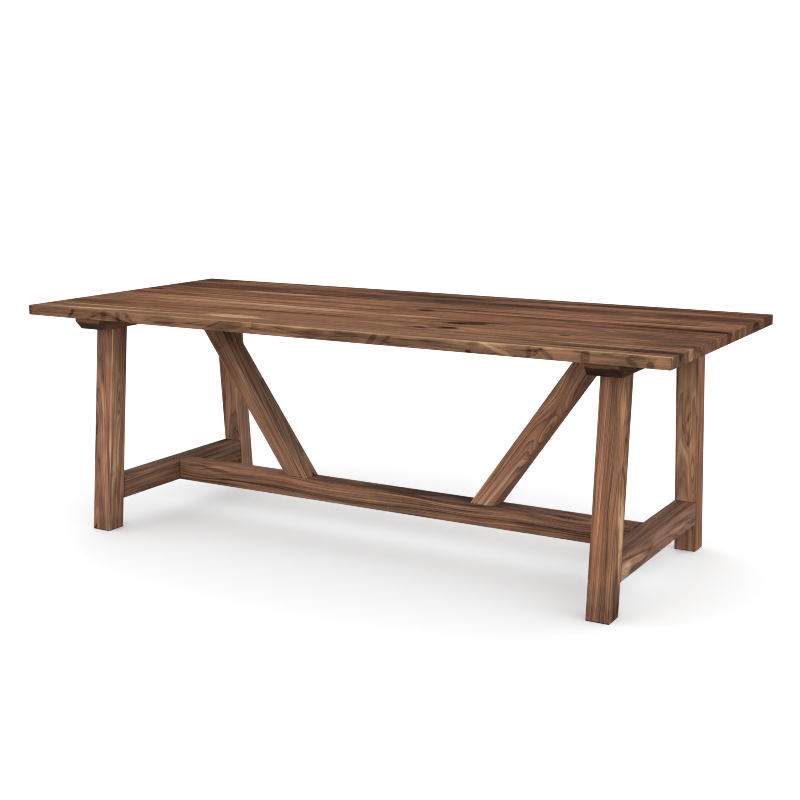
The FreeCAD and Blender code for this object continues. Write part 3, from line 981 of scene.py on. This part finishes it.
    "rail_right": Cut(
        pith=(0.08, -0.04),
        drift=(0.03, 0.02),
        ring=0.0060,
        tone=0.06,
        lines=0.6,
        red=-0.9,
        rose=0.7,
        streaks=(
            seam_and_painted_shade(RAIL_SHOULDER, (0.0, -SPLAY)),
            seam_and_painted_shade(-RAIL_SHOULDER, (0.0, SPLAY)),
            RAIL_SIDE.streak(-0.32, -0.012, 0.07, 0.026, 0.30),
            RAIL_SIDE.streak(-0.20, -0.004, 0.10, 0.013, 0.22, red=0.1, slope=-3.0),
            RAIL_SIDE.streak(-0.22, 0.014, 0.04, 0.014, -0.18, red=0.3, slope=-8.0),
            RAIL_SIDE.streak(-0.20, -0.024, 0.08, 0.007, -0.22, red=0.2),
            RAIL_SIDE.streak(-0.12, -0.010, 0.02, 0.012, -0.20, slope=2.5),
            RAIL_SIDE.streak(0.10, 0.024, 0.18, 0.012, 0.12),
            RAIL_SIDE.streak(0.26, -0.021, 0.09, 0.012, -0.24),
            RAIL_SIDE.streak(0.22, 0.004, 0.03, 0.008, -0.16, slope=-7.0),
            RAIL_SIDE.streak(-0.11, 0.002, 0.05, 0.007, -0.16, red=0.3),
            Streak((0.0, 0.0, 0.035), (0.6, 0.030, 0.010), -0.10, red=0.3),
            RAIL_SIDE.streak(-0.13, 0.012, 0.06, 0.020, -0.09),
        ),
    ),
    "stretcher": Cut(
        pith=(0.01, -0.13),
        drift=(0.0, 0.01),
        ring=0.0085,
        wander=0.034,
        tone=-0.01,
        contrast=1.1,
        broad=1.15,
        lines=0.75,
        red=-0.3,
        streaks=(
            seam_and_painted_shade(STRETCHER_SHOULDER),
            seam_and_painted_shade(-STRETCHER_SHOULDER),
            STRETCHER_FRONT.streak(-0.80, -0.004, 0.06, 0.018, 0.06, red=-0.2),
            STRETCHER_FRONT.streak(-0.70, 0.020, 0.06, 0.008, -0.26, slope=-4.0),
            STRETCHER_FRONT.streak(0.50, -0.026, 0.40, 0.008, 0.14),
            STRETCHER_FRONT.streak(0.35, 0.016, 0.22, 0.007, 0.14, slope=6.0),
            STRETCHER_FRONT.streak(0.62, 0.012, 0.16, 0.005, 0.14),
            STRETCHER_FRONT.streak(0.64, -0.009, 0.20, 0.008, -0.20),
            STRETCHER_FRONT.streak(-0.40, -0.010, 0.40, 0.004, -0.14),
            STRETCHER_FRONT.streak(-0.77, 0.020, 0.05, 0.008, -0.12, red=0.2),
            STRETCHER_FRONT.streak(-0.67, 0.033, 0.10, 0.006, -0.14),
            STRETCHER_FRONT.streak(-0.78, 0.018, 0.10, 0.012, -0.08),
            STRETCHER_FRONT.streak(0.16, 0.020, 0.20, 0.010, 0.09),
        ),
        knots=(
            Knot((-0.78, -0.04, 0.0), (0.10, 0.03, 0.03), 0.018),
            Knot((0.25, -0.04, 0.03), (0.16, 0.03, 0.04), 0.018),
            Knot((0.68, -0.04, 0.03), (0.14, 0.03, 0.04), 0.018),
        ),
    ),
    "brace_left": Cut(
        pith=(0.17, 0.03),
        drift=(0.05, 0.01),
        ring=0.0060,
        tone=0.11,
        contrast=0.85,
        broad=0.6,
        lines=1.2,
        red=-0.35,
        streaks=(
            seam_and_painted_shade(BRACE_SHOULDER, (-LEAN, 0.0)),
            # Painted shade across the front near the brace's head, under the tabletop
            Streak((-0.14, 0.0, -0.035), (0.03, 0.10, 0.05), -0.10),
            FRONT.streak(-0.22, -0.016, 0.10, 0.014, -0.08),
            FRONT.streak(-0.34, 0.016, 0.09, 0.012, 0.14, slope=-3.0),
            FRONT.streak(-0.60, -0.006, 0.12, 0.008, 0.10),
            Streak((-0.35, 0.035, 0.0), (1.0, 0.006, 0.1), -0.12),
            RIGHT.streak(-0.31, 0.030, 0.04, 0.014, 0.22),
        ),
    ),
    "brace_right": Cut(
        pith=(0.050, 0.030),
        drift=(0.005, 0.02),
        ring=0.0048,
        tone=0.22,
        contrast=0.85,
        broad=0.4,
        lines=1.5,
        red=-0.3,
        rose=0.5,
        streaks=(
            seam_and_painted_shade(BRACE_SHOULDER, (LEAN, 0.0)),
            # Painted shade across the front near the brace's head, under the tabletop
            Streak((-0.14, 0.0, -0.035), (0.03, 0.10, 0.05), -0.06),
            Streak((-0.35, 0.035, 0.0), (1.0, 0.006, 0.1), -0.12, red=0.2),
        ),
        knots=(
            Knot((-0.24, -0.010, -0.035), (0.10, 0.030, 0.04), 0.014),
            Knot((-0.35, 0.032, -0.035), (0.10, 0.018, 0.04), 0.026),
        ),
    ),
}


def steel():
    """Zinc-plated steel with fine scratches and a dull bloom."""
    material, tree, shader = new_material("zinc_plated_steel")
    place = object_place(tree)
    bloom = place.stretched(BLOOM_SCALES, (0, 0, 0)).noise(detail=3.0)
    scratch = place.stretched(SCRATCH_SCALES, (0, 0, 0)).noise()
    ramp = bloom.node("ShaderNodeValToRGB", {0: bloom})
    for element, colour in zip(ramp.socket.node.color_ramp.elements, (STEEL_DULL, STEEL_BRIGHT)):
        element.color = (*linear(colour), 1)
    ramp.into(shader, "Base Color")
    rough = (scratch * SCRATCH_ROUGHNESS).plus(bloom, BLOOM_ROUGHNESS) + STEEL_ROUGHNESS
    rough.into(shader, "Roughness")
    shader.inputs["Metallic"].default_value = 1.0
    return material


def dress(node_name, material):
    """Gives a node its one material."""
    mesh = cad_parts[node_name].data
    mesh.materials.clear()
    mesh.materials.append(material)


def dress_table():
    """Every wooden piece in its own walnut, and the hardware in steel."""
    for number, (name, cut) in enumerate(CUTS.items()):
        dress(name, walnut(name, stick_of(name), cut, SEED_STEP * number + FIRST_SEED))
    plated = steel()
    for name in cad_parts:
        if name not in CUTS:
            dress(name, plated)


def camera_rays(tree):
    """1 for what the camera sees itself, 0 for what lights the scene."""
    return Field(tree, tree.nodes.new("ShaderNodeLightPath").outputs["Is Camera Ray"])


def floor():
    """A plain pale floor."""
    bpy.ops.mesh.primitive_circle_add(vertices=FLOOR_CORNERS, radius=FLOOR_RADIUS, fill_type="NGON")
    ground = bpy.context.object
    ground.name = "floor"
    material, tree, shader = new_material("pale_floor")
    seen = camera_rays(tree)
    share = seen * (1 - FLOOR_BOUNCE) + FLOOR_BOUNCE
    share.joined(share, share).vector("MULTIPLY", FLOOR_SHADE).into(shader, "Base Color")
    (seen * FLOOR_GLOW).into(shader, "Emission Strength")
    shader.inputs["Emission Color"].default_value = WHITE
    shader.inputs["Roughness"].default_value = FLOOR_ROUGHNESS
    shader.inputs["Specular IOR Level"].default_value = 0.0
    ground.data.materials.append(material)
    ground.visible_glossy = False


def soft_box(name, place, watts):
    """A soft box at a place, turned towards the table."""
    data = bpy.data.lights.new(name, "AREA")
    data.shape = "SQUARE"
    data.size = BOX_SIZE
    data.energy = watts
    box = bpy.data.objects.new(name, data)
    box.location = place
    box.rotation_euler = (Vector(BOX_TARGET) - Vector(place)).to_track_quat("-Z", "Y").to_euler()
    bpy.context.scene.collection.objects.link(box)


def light():
    """A white light tent, darker overhead, and soft boxes in front and at the right."""
    world = bpy.data.worlds.new("studio")
    world.use_nodes = True
    world.cycles_visibility.glossy = False
    tree = world.node_tree
    background = tree.nodes["Background"]
    direction = Field(tree, tree.nodes.new("ShaderNodeTexCoord").outputs["Generated"])
    height = direction.parts()[2].math("MAXIMUM", 0.0)
    glow = height * (TENT_OVERHEAD - TENT_HORIZON) + TENT_HORIZON
    glow.math("MAXIMUM", camera_rays(tree)).into(background, "Strength")
    background.inputs["Color"].default_value = WHITE
    bpy.context.scene.world = world
    soft_box("front_box", *FRONT_BOX)
    soft_box("side_box", *SIDE_BOX)


def camera():
    """The photograph's camera, with plain tones and edges about as sharp as the photograph's."""
    data = bpy.data.cameras.new("camera")
    data.sensor_width = SENSOR_MM
    data.lens = LENS_MM
    eye = bpy.data.objects.new("camera", data)
    eye.location = CAMERA_PLACE
    tilt = math.radians(90 - CAMERA_DIP_DEGREES)
    eye.rotation_euler = (tilt, 0, math.radians(CAMERA_TURN_DEGREES))
    scene = bpy.context.scene
    scene.collection.objects.link(eye)
    scene.camera = eye
    scene.view_settings.view_transform = "Standard"
    scene.cycles.filter_width = PIXEL_FILTER


dress_table()
floor()
light()
camera()
